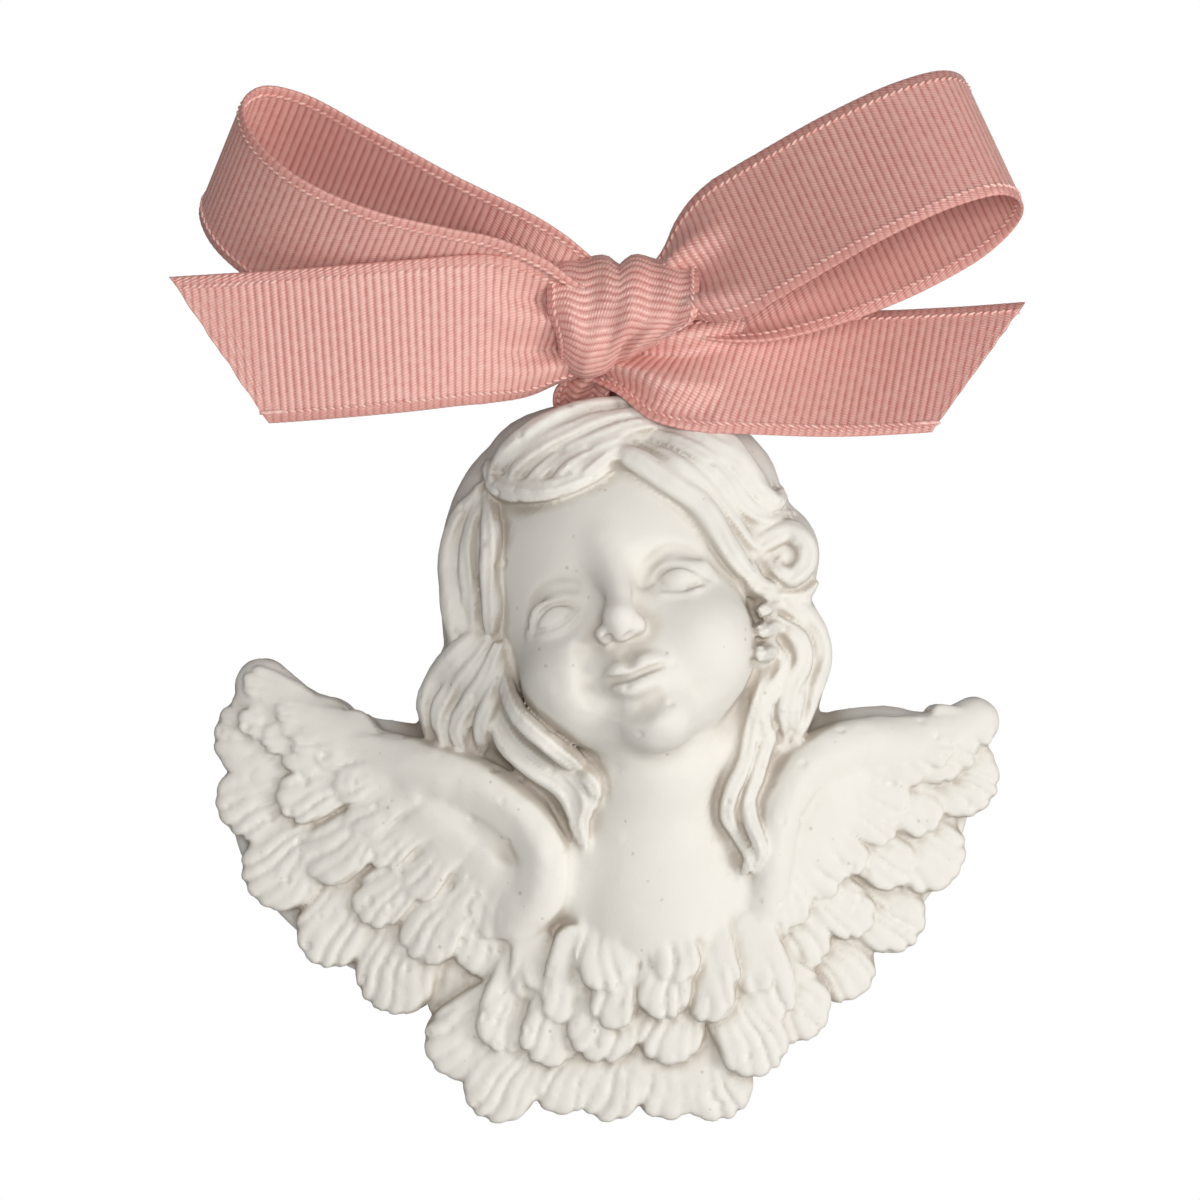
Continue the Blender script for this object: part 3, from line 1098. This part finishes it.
def group_with(name, sockets):
    """An empty node group with these named inputs, its input and output nodes."""
    tree = bpy.data.node_groups.new(name, "GeometryNodeTree")
    tree.interface.new_socket("Geometry", in_out="INPUT", socket_type="NodeSocketGeometry")
    for label, kind, default in sockets:
        socket = tree.interface.new_socket(label, in_out="INPUT", socket_type=kind)
        if default is not None:
            socket.default_value = default
    tree.interface.new_socket("Geometry", in_out="OUTPUT", socket_type="NodeSocketGeometry")
    return tree, Graph(tree), tree.nodes.new("NodeGroupInput"), tree.nodes.new("NodeGroupOutput")


class Value:
    """A socket that sums are written on."""

    def __init__(self, graph, socket):
        self.graph = graph
        self.socket = socket

    def math(self, operation, *others):
        return self.graph.value("ShaderNodeMath", {"operation": operation}, dict(enumerate((self, *others))))

    def __add__(self, other):
        return self.math("ADD", other)

    def __sub__(self, other):
        return self.math("SUBTRACT", other)

    def __mul__(self, other):
        return self.math("MULTIPLY", other)

    def __truediv__(self, other):
        return self.math("DIVIDE", other)

    def __rsub__(self, other):
        return self.graph.value("ShaderNodeMath", {"operation": "SUBTRACT"}, {0: other, 1: self})

    __radd__ = __add__

    def clamped(self, low, high):
        """0 at low, 1 at high, and smooth between."""
        ends = {"Value": self, "From Min": low, "From Max": high}
        return self.graph.value("ShaderNodeMapRange", {"interpolation_type": "SMOOTHSTEP"}, ends)


class Graph:
    """Makes the nodes of one tree."""

    def __init__(self, tree):
        self.tree = tree

    def node(self, kind, settings=None, inputs=None):
        node = self.tree.nodes.new(kind)
        for key, value in (settings or {}).items():
            setattr(node, key, value)
        for key, value in (inputs or {}).items():
            target = node.inputs[key]
            source = getattr(value, "socket", value)
            if isinstance(source, bpy.types.NodeSocket):
                self.tree.links.new(source, target)
            else:
                target.default_value = source
        return node

    def value(self, kind, settings=None, inputs=None, output=0):
        return Value(self, self.node(kind, settings, inputs).outputs[output])

    def stored(self, name, kind="FLOAT"):
        """A mesh's own attribute, in a geometry tree."""
        return self.value("GeometryNodeInputNamedAttribute", {"data_type": kind}, {"Name": name})

    def noise(self, scale, detail):
        """Noise over the object's own places, in a shader tree."""
        place = self.value("ShaderNodeTexCoord", output=3)
        return self.value("ShaderNodeTexNoise", {}, {"Vector": place, "Scale": scale, "Detail": detail})

    def wire(self, shader, values):
        """Joins each value to the shader's input of that name."""
        for key, value in values.items():
            self.tree.links.new(value.socket, shader.inputs[key])


def rib_tree():
    """Raises round ribs across the ribbon, less and less towards its two edges."""
    tree, graph, given, result = group_with("woven_ribs", [
        ("Rib Pitch", "NodeSocketFloat", 0.00078),
        ("Rib Height", "NodeSocketFloat", 0.0001),
        ("Selvedge", "NodeSocketFloat", 0.86),
        ("Material", "NodeSocketMaterial", None),
    ])
    along = graph.stored("along")
    across = graph.stored("across")
    pitch = Value(graph, given.outputs["Rib Pitch"])
    height = Value(graph, given.outputs["Rib Height"])
    selvedge = Value(graph, given.outputs["Selvedge"])
    crest = (along * (MM * math.pi) / pitch).math("SINE").math("ABSOLUTE")
    inner = 1 - across.math("ABSOLUTE").math("GREATER_THAN", selvedge) * 0.75
    lift = (crest - 0.6) * height * inner
    normal = graph.node("GeometryNodeInputNormal")
    offset = graph.node("ShaderNodeVectorMath", {"operation": "SCALE"}, {0: normal.outputs[0], "Scale": lift})
    raised = graph.node("GeometryNodeSetPosition", {}, {
        "Geometry": given.outputs["Geometry"],
        "Offset": offset.outputs[0],
    })
    finish(graph, raised.outputs[0], given, result)
    return tree


def stitch_tree():
    """Lays a short plump stitch on each point, turned to that point's own directions."""
    tree, graph, given, result = group_with("selvedge_stitches", [
        ("Stitch Length", "NodeSocketFloat", 0.00085),
        ("Stitch Thickness", "NodeSocketFloat", 0.00026),
        ("Material", "NodeSocketMaterial", None),
    ])
    forward = graph.stored("forward", "FLOAT_VECTOR")
    outward = graph.stored("outward", "FLOAT_VECTOR")
    standing = graph.node("FunctionNodeAlignRotationToVector", {"axis": "Z"}, {"Vector": outward})
    turned = graph.node(
        "FunctionNodeAlignRotationToVector",
        {"axis": "X", "pivot_axis": "Z"},
        {"Rotation": standing.outputs[0], "Vector": forward},
    )
    length = Value(graph, given.outputs["Stitch Length"]) * 0.5
    thick = Value(graph, given.outputs["Stitch Thickness"]) * 0.5
    scale = graph.node("ShaderNodeCombineXYZ", {}, {0: length, 1: thick, 2: thick})
    bead = graph.node("GeometryNodeMeshUVSphere", {}, {"Segments": 8, "Rings": 5, "Radius": 1.0})
    laid = graph.node("GeometryNodeInstanceOnPoints", {}, {
        "Points": given.outputs["Geometry"],
        "Instance": bead.outputs[0],
        "Rotation": turned.outputs[0],
        "Scale": scale.outputs[0],
    })
    finish(graph, laid.outputs[0], given, result)
    return tree


def finish(graph, geometry, given, result):
    """Ends the tree: real geometry, shaded smooth, with the given material."""
    real = graph.node("GeometryNodeRealizeInstances", {}, {0: geometry})
    smooth = graph.node("GeometryNodeSetShadeSmooth", {}, {"Geometry": real.outputs[0]})
    painted = graph.node("GeometryNodeSetMaterial", {}, {
        "Geometry": smooth.outputs[0], "Material": given.outputs["Material"]
    })
    graph.tree.links.new(painted.outputs[0], result.inputs[0])


def applied(source, tree, values, name):
    """Runs the tree on the object and gives back its result as a plain mesh object."""
    modifier = source.modifiers.new(tree.name, "NODES")
    modifier.node_group = tree
    for item in tree.interface.items_tree:
        if item.in_out == "INPUT" and item.name in values:
            modifier[item.identifier] = values[item.name]
    bpy.context.view_layer.update()
    graph = bpy.context.evaluated_depsgraph_get()
    mesh = bpy.data.meshes.new_from_object(source.evaluated_get(graph))
    source.modifiers.remove(modifier)
    bpy.data.objects.remove(source)
    mesh.name = name
    obj = bpy.data.objects.new(name, mesh)
    bpy.context.scene.collection.objects.link(obj)
    return obj


# Materials


def material(name, colour, roughness=0.5):
    """A new material with its graph and its shader."""
    made = bpy.data.materials.new(name)
    made.use_nodes = True
    made.diffuse_color = (*colour, 1)
    shader = made.node_tree.nodes["Principled BSDF"]
    shader.inputs["Roughness"].default_value = roughness
    return made, Graph(made.node_tree), shader


def mixed(graph, factor, a, b):
    """Colour a with this much of colour b in it."""
    node = graph.node("ShaderNodeMix", {"data_type": "RGBA"})
    sockets = {s.identifier: s for s in node.inputs}
    graph.tree.links.new(factor.socket, sockets["Factor_Float"])
    for key, value in (("A_Color", a), ("B_Color", b)):
        if isinstance(value, Value):
            graph.tree.links.new(value.socket, sockets[key])
        else:
            sockets[key].default_value = (*value, 1)
    return Value(graph, next(s for s in node.outputs if s.identifier == "Result_Color"))


def plaster(settings):
    """Matt white plaster: warm grey in the hollows, faint blotches, and a fine sandy grain with pin holes."""
    made, graph, shader = material("cast_plaster", settings.colour)
    place = graph.value("ShaderNodeTexCoord", output=3)
    recess = graph.value("ShaderNodeAttribute", {"attribute_name": "recess"}, output=2)
    blotch = graph.noise(170.0, 4.0)
    grain = graph.noise(2600.0, 3.0)
    sand = graph.noise(900.0, 5.0)
    cells = graph.value("ShaderNodeTexVoronoi", {}, {"Vector": place, "Scale": 700.0})
    pin = (1 - cells.clamped(0.08, 0.2)) * graph.noise(420.0, 2.0).clamped(0.56, 0.64)
    colour = mixed(graph, recess, settings.colour, settings.hollow_colour)
    colour = mixed(graph, blotch.clamped(0.45, 0.75) * 0.2, colour, settings.blotch_colour)
    colour = mixed(graph, pin * 0.55, colour, settings.hollow_colour)
    height = sand * 0.5 + grain * 0.25 - pin * 0.8
    bump = graph.value("ShaderNodeBump", {}, {"Strength": 0.35, "Distance": 0.00012, "Height": height})
    graph.wire(shader, {"Base Color": colour, "Normal": bump, "Roughness": 0.74 + grain * 0.16})
    return made


# The distance between the fine threads over a rib, in millimetres.
THREAD = 0.3


def grosgrain(settings):
    """Ribbed satin weave: lighter along each rib, deep between the ribs, with fine threads over each one."""
    made, graph, shader = material("grosgrain", settings.colour)
    along = graph.value("ShaderNodeAttribute", {"attribute_name": "along"}, output=2)
    across = graph.value("ShaderNodeAttribute", {"attribute_name": "across"}, output=2)
    pitch = settings.rib_pitch / MM
    half = settings.width / MM / 2
    crest = (along * (math.pi / pitch)).math("SINE").math("ABSOLUTE")
    edge = across.math("ABSOLUTE").clamped(0.84, 0.88)
    thread = (across * (2 * math.pi * half / THREAD) + along * (2 * math.pi / pitch)).math("SINE")
    stray = graph.noise(1400.0, 3.0)
    cloud = graph.noise(60.0, 2.0)
    colour = mixed(graph, crest.clamped(0.15, 0.9), settings.groove_colour, settings.colour)
    colour = mixed(graph, (thread * 0.5 + 0.5) * crest * 0.62, colour, settings.crest_colour)
    colour = mixed(graph, stray.clamped(0.35, 0.7) * 0.25, colour, settings.crest_colour)
    colour = mixed(graph, cloud.clamped(0.3, 0.8) * 0.2, colour, settings.groove_colour)
    colour = mixed(graph, edge * 0.3, colour, settings.groove_colour)
    height = thread * 0.5 + stray * 0.6
    bump = graph.value("ShaderNodeBump", {}, {"Strength": 0.45, "Distance": 0.00006, "Height": height})
    rough = 0.22 + stray * 0.16 + (1 - crest) * 0.3
    graph.wire(shader, {"Base Color": colour, "Normal": bump, "Roughness": rough})
    for key, value in {
        "Subsurface Weight": 0.25,
        "Subsurface Scale": 0.0009,
        "Subsurface Radius": (1.0, 0.5, 0.45),
        "Specular IOR Level": 0.9,
        "Specular Tint": (1.0, 0.86, 0.83, 1),
        "Sheen Weight": 0.4,
        "Sheen Roughness": 0.35,
        "Sheen Tint": (1.0, 0.8, 0.77, 1),
    }.items():
        shader.inputs[key].default_value = value
    return made


def thread_material(settings):
    """The edge's thread, between the ribbon's colour and that of its lit threads."""
    made, graph, shader = material("selvedge_thread", settings.crest_colour, 0.4)
    twist = graph.noise(2200.0, 2.0).clamped(0.3, 0.7)
    graph.wire(shader, {"Base Color": mixed(graph, twist, settings.colour, settings.crest_colour)})
    return made


# Settings, one operator for each piece, and the panel that lists them


def number(label, text, default, **how):
    return bpy.props.FloatProperty(name=label, description=text, default=default, min=0, **how)


def whole(label, text, default, least=0):
    return bpy.props.IntProperty(name=label, description=text, default=default, min=least)


def length(label, text, default):
    return number(label, text, default, unit="LENGTH", precision=5)


def colour(label, text, default):
    return bpy.props.FloatVectorProperty(
        name=label, description=text, default=default, min=0, max=1, size=3, subtype="COLOR"
    )


class CastSettings(bpy.types.PropertyGroup):
    grid: length("Carving grid", "Spacing of the samples that the carving is meshed from", 0.00029)
    thrift: number("Thrift", "How freely flat places are given larger faces", 0.01, max=1)
    wear: number("Unevenness", "Share of the plaster's small unevenness", 1.0, subtype="FACTOR")
    pores: whole("Pin holes", "How many bubble holes are tried in the plaster", 260)
    colour: colour("Plaster", "Colour of the open plaster", (0.83, 0.81, 0.765))
    blotch_colour: colour("Blotches", "Colour of the faint blotches", (0.78, 0.75, 0.7))
    hollow_colour: colour("Hollows", "Colour deep in the hollows", (0.52, 0.47, 0.41))


class RibbonSettings(bpy.types.PropertyGroup):
    width: length("Width", "Width of the ribbon laid flat", 0.015)
    thickness: length("Thickness", "Thickness of the weave", 0.00036)
    rib_pitch: length("Rib pitch", "Distance from one rib to the next", 0.00078)
    rib_height: length("Rib height", "How far a rib stands out", 0.00011)
    columns: whole("Columns", "Points across the ribbon, for its pleats", 16, 5)
    stitch_length: length("Stitch length", "Length of one edge stitch", 0.0009)
    stitch_thickness: length("Stitch thickness", "Thickness of the edge thread", 0.0003)
    colour: colour("Ribbon", "Colour of the weave", (0.8, 0.38, 0.34))
    crest_colour: colour("Lit threads", "Colour where the threads catch the light", (0.95, 0.66, 0.6))
    groove_colour: colour("Grooves", "Colour between the ribs", (0.59, 0.225, 0.195))


class StageSettings(bpy.types.PropertyGroup):
    distance: length("Camera distance", "From the lens to the ornament", 1.2)
    frame_width: length("Frame width", "Width of the picture at the ornament", 0.12)
    centre: bpy.props.FloatVectorProperty(
        name="Centre", description="Middle of the picture", default=(-0.0023, -0.006, -0.0282),
        subtype="TRANSLATION",
    )
    floor_drop: length("Floor drop", "From the hanging point down to the floor", 0.35)
    key: number("Key light", "Power of the main light", 5.6, unit="POWER")
    side: number("Side light", "Power of the light from the right", 4.0, unit="POWER")
    surround: number("Surround", "Strength of the light from all round", 0.2)


class ORNAMENT_OT_carve(bpy.types.Operator):
    """Carves the plaster cherub with its wings, hair and hole"""

    bl_idname = "ornament.carve"
    bl_label = "Carve the Cherub"

    def execute(self, context):
        settings = context.scene.ornament_cast
        cast = cast_object(settings)
        cast.data.materials.append(plaster(settings))
        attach(cast, "root")
        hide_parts("cherub_cast")
        return {"FINISHED"}


class ORNAMENT_OT_tie(bpy.types.Operator):
    """Ties the grosgrain bow and sews its edges"""

    bl_idname = "ornament.tie"
    bl_label = "Tie the Bow"

    def execute(self, context):
        settings = context.scene.ornament_ribbon
        grids = bow_grids(settings)
        points, faces, along, across = sheet_parts(grids, settings.thickness / MM)
        plain = mesh_from("ribbon_strips", to_object(points), faces, {"along": along, "across": across})
        ribbon = applied(plain, rib_tree(), {
            "Rib Pitch": settings.rib_pitch,
            "Rib Height": settings.rib_height,
            "Material": grosgrain(settings),
        }, "ribbon_bow_weave")
        stitches = stitched(grids, settings)
        for piece in (ribbon, stitches):
            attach(piece, "root")
        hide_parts("ribbon_bow")
        total = sum(float(along[:, 0].max() - along[:, 0].min()) for _, along, _ in grids)
        return {"FINISHED"}


# How much a stitch leans to the side, and how far its middle is from the weave's face in millimetres.
STITCH_LEAN = 0.45
STITCH_LIFT = 0.04


def stitched(grids, settings):
    """A line of slanting stitches near each edge, on both faces of the ribbon, one to each rib."""
    spots, forwards, outwards = [], [], []
    lift = settings.thickness / MM / 2 + STITCH_LIFT
    for places, _, t in grids:
        down, over, out = grid_directions(places)
        rows = np.arange(3, len(places) - 2, ROWS_PER_RIB)
        for column, side in ((1, 1), (len(t) - 2, -1)):
            for face in (1, -1):
                spots.append(places[rows, column] + face * out[rows, column] * lift)
                forwards.append(down[rows, column] + STITCH_LEAN * side * face * over[rows, column])
                outwards.append(out[rows, column] * face)
    spots = np.concatenate(spots)
    guide = mesh_from("stitch_places", to_object(spots), [], {
        "forward": direction(np.concatenate(forwards)),
        "outward": direction(np.concatenate(outwards)),
    })
    return applied(guide, stitch_tree(), {
        "Stitch Length": settings.stitch_length,
        "Stitch Thickness": settings.stitch_thickness,
        "Material": thread_material(settings),
    }, "ribbon_edge_stitches")


SURROUND_TINT = (1.0, 0.985, 0.965)
LAMP_TINT = (1.0, 0.98, 0.95)
FLOOR_COLOUR = (0.9, 0.9, 0.89)
FLOOR_HALF = 3
FLOOR_CORNERS = 48
SENSOR = 36


class ORNAMENT_OT_stage(bpy.types.Operator):
    """Sets the floor, the lights and the camera"""

    bl_idname = "ornament.stage"
    bl_label = "Set the Stage"

    def execute(self, context):
        settings = context.scene.ornament_stage
        scene = context.scene
        scene.view_settings.view_transform = "Standard"
        world = bpy.data.worlds.new("soft_white")
        world.use_nodes = True
        scene.world = world
        graph = Graph(world.node_tree)
        nodes = world.node_tree.nodes
        seen = graph.value("ShaderNodeBackground", {}, {"Color": (1, 1, 1, 1), "Strength": 1.0})
        lit = nodes["Background"]
        lit.inputs["Color"].default_value = (*SURROUND_TINT, 1)
        lit.inputs["Strength"].default_value = settings.surround
        path = graph.node("ShaderNodeLightPath")
        both = graph.node("ShaderNodeMixShader", {}, {
            0: path.outputs["Is Camera Ray"],
            1: lit.outputs[0],
            2: seen,
        })
        world.node_tree.links.new(both.outputs[0], nodes["World Output"].inputs["Surface"])
        floor_material, _, shader = material("pale_floor", FLOOR_COLOUR, 0.9)
        shader.inputs["Base Color"].default_value = (*FLOOR_COLOUR, 1)
        angles = np.linspace(0, 2 * math.pi, FLOOR_CORNERS, endpoint=False)
        ring = [(FLOOR_HALF * math.cos(a), FLOOR_HALF * math.sin(a), -settings.floor_drop) for a in angles]
        floor = mesh_from("floor", ring, [list(range(FLOOR_CORNERS))])
        floor.data.materials.append(floor_material)
        centre = Vector(settings.centre)
        for name, place, size, power in (
            ("key_light", (0.1, -1.1, 0.08), 0.4, settings.key),
            ("side_light", (0.9, -0.5, -0.1), 0.25, settings.side),
        ):
            light = bpy.data.lights.new(name, "AREA")
            light.size = size
            light.energy = power
            light.color = LAMP_TINT
            lamp = bpy.data.objects.new(name, light)
            lamp.location = place
            lamp.rotation_euler = (centre - Vector(place)).to_track_quat("-Z", "Y").to_euler()
            scene.collection.objects.link(lamp)
        camera = bpy.data.cameras.new("camera")
        camera.sensor_width = SENSOR
        camera.lens = SENSOR * settings.distance / settings.frame_width
        holder = bpy.data.objects.new("camera", camera)
        holder.location = centre + Vector((0, -settings.distance, 0))
        holder.rotation_euler = (math.radians(90), 0, 0)
        scene.collection.objects.link(holder)
        scene.camera = holder
        return {"FINISHED"}


class ORNAMENT_PT_panel(bpy.types.Panel):
    """Lists the ornament's settings and the operators that make its pieces"""

    bl_label = "Cherub Head Ornament"
    bl_space_type = "VIEW_3D"
    bl_region_type = "UI"
    bl_category = "Ornament"

    def draw(self, context):
        for group, operator in STEPS:
            box = self.layout.box()
            settings = getattr(context.scene, group)
            for key in settings.__annotations__:
                box.prop(settings, key)
            box.operator(operator)


GROUPS = {"ornament_stage": StageSettings, "ornament_cast": CastSettings, "ornament_ribbon": RibbonSettings}
STEPS = (
    ("ornament_stage", "ornament.stage"),
    ("ornament_cast", "ornament.carve"),
    ("ornament_ribbon", "ornament.tie"),
)
CLASSES = (*GROUPS.values(), ORNAMENT_OT_stage, ORNAMENT_OT_carve, ORNAMENT_OT_tie, ORNAMENT_PT_panel)


def register():
    for item in CLASSES:
        bpy.utils.register_class(item)
    for name, group in GROUPS.items():
        setattr(bpy.types.Scene, name, bpy.props.PointerProperty(type=group))


def unregister():
    for name in GROUPS:
        delattr(bpy.types.Scene, name)
    for item in reversed(CLASSES):
        bpy.utils.unregister_class(item)


def main():
    register()
    bpy.ops.ornament.stage()
    bpy.ops.ornament.carve()
    bpy.ops.ornament.tie()


if __name__ == "__main__":
    main()
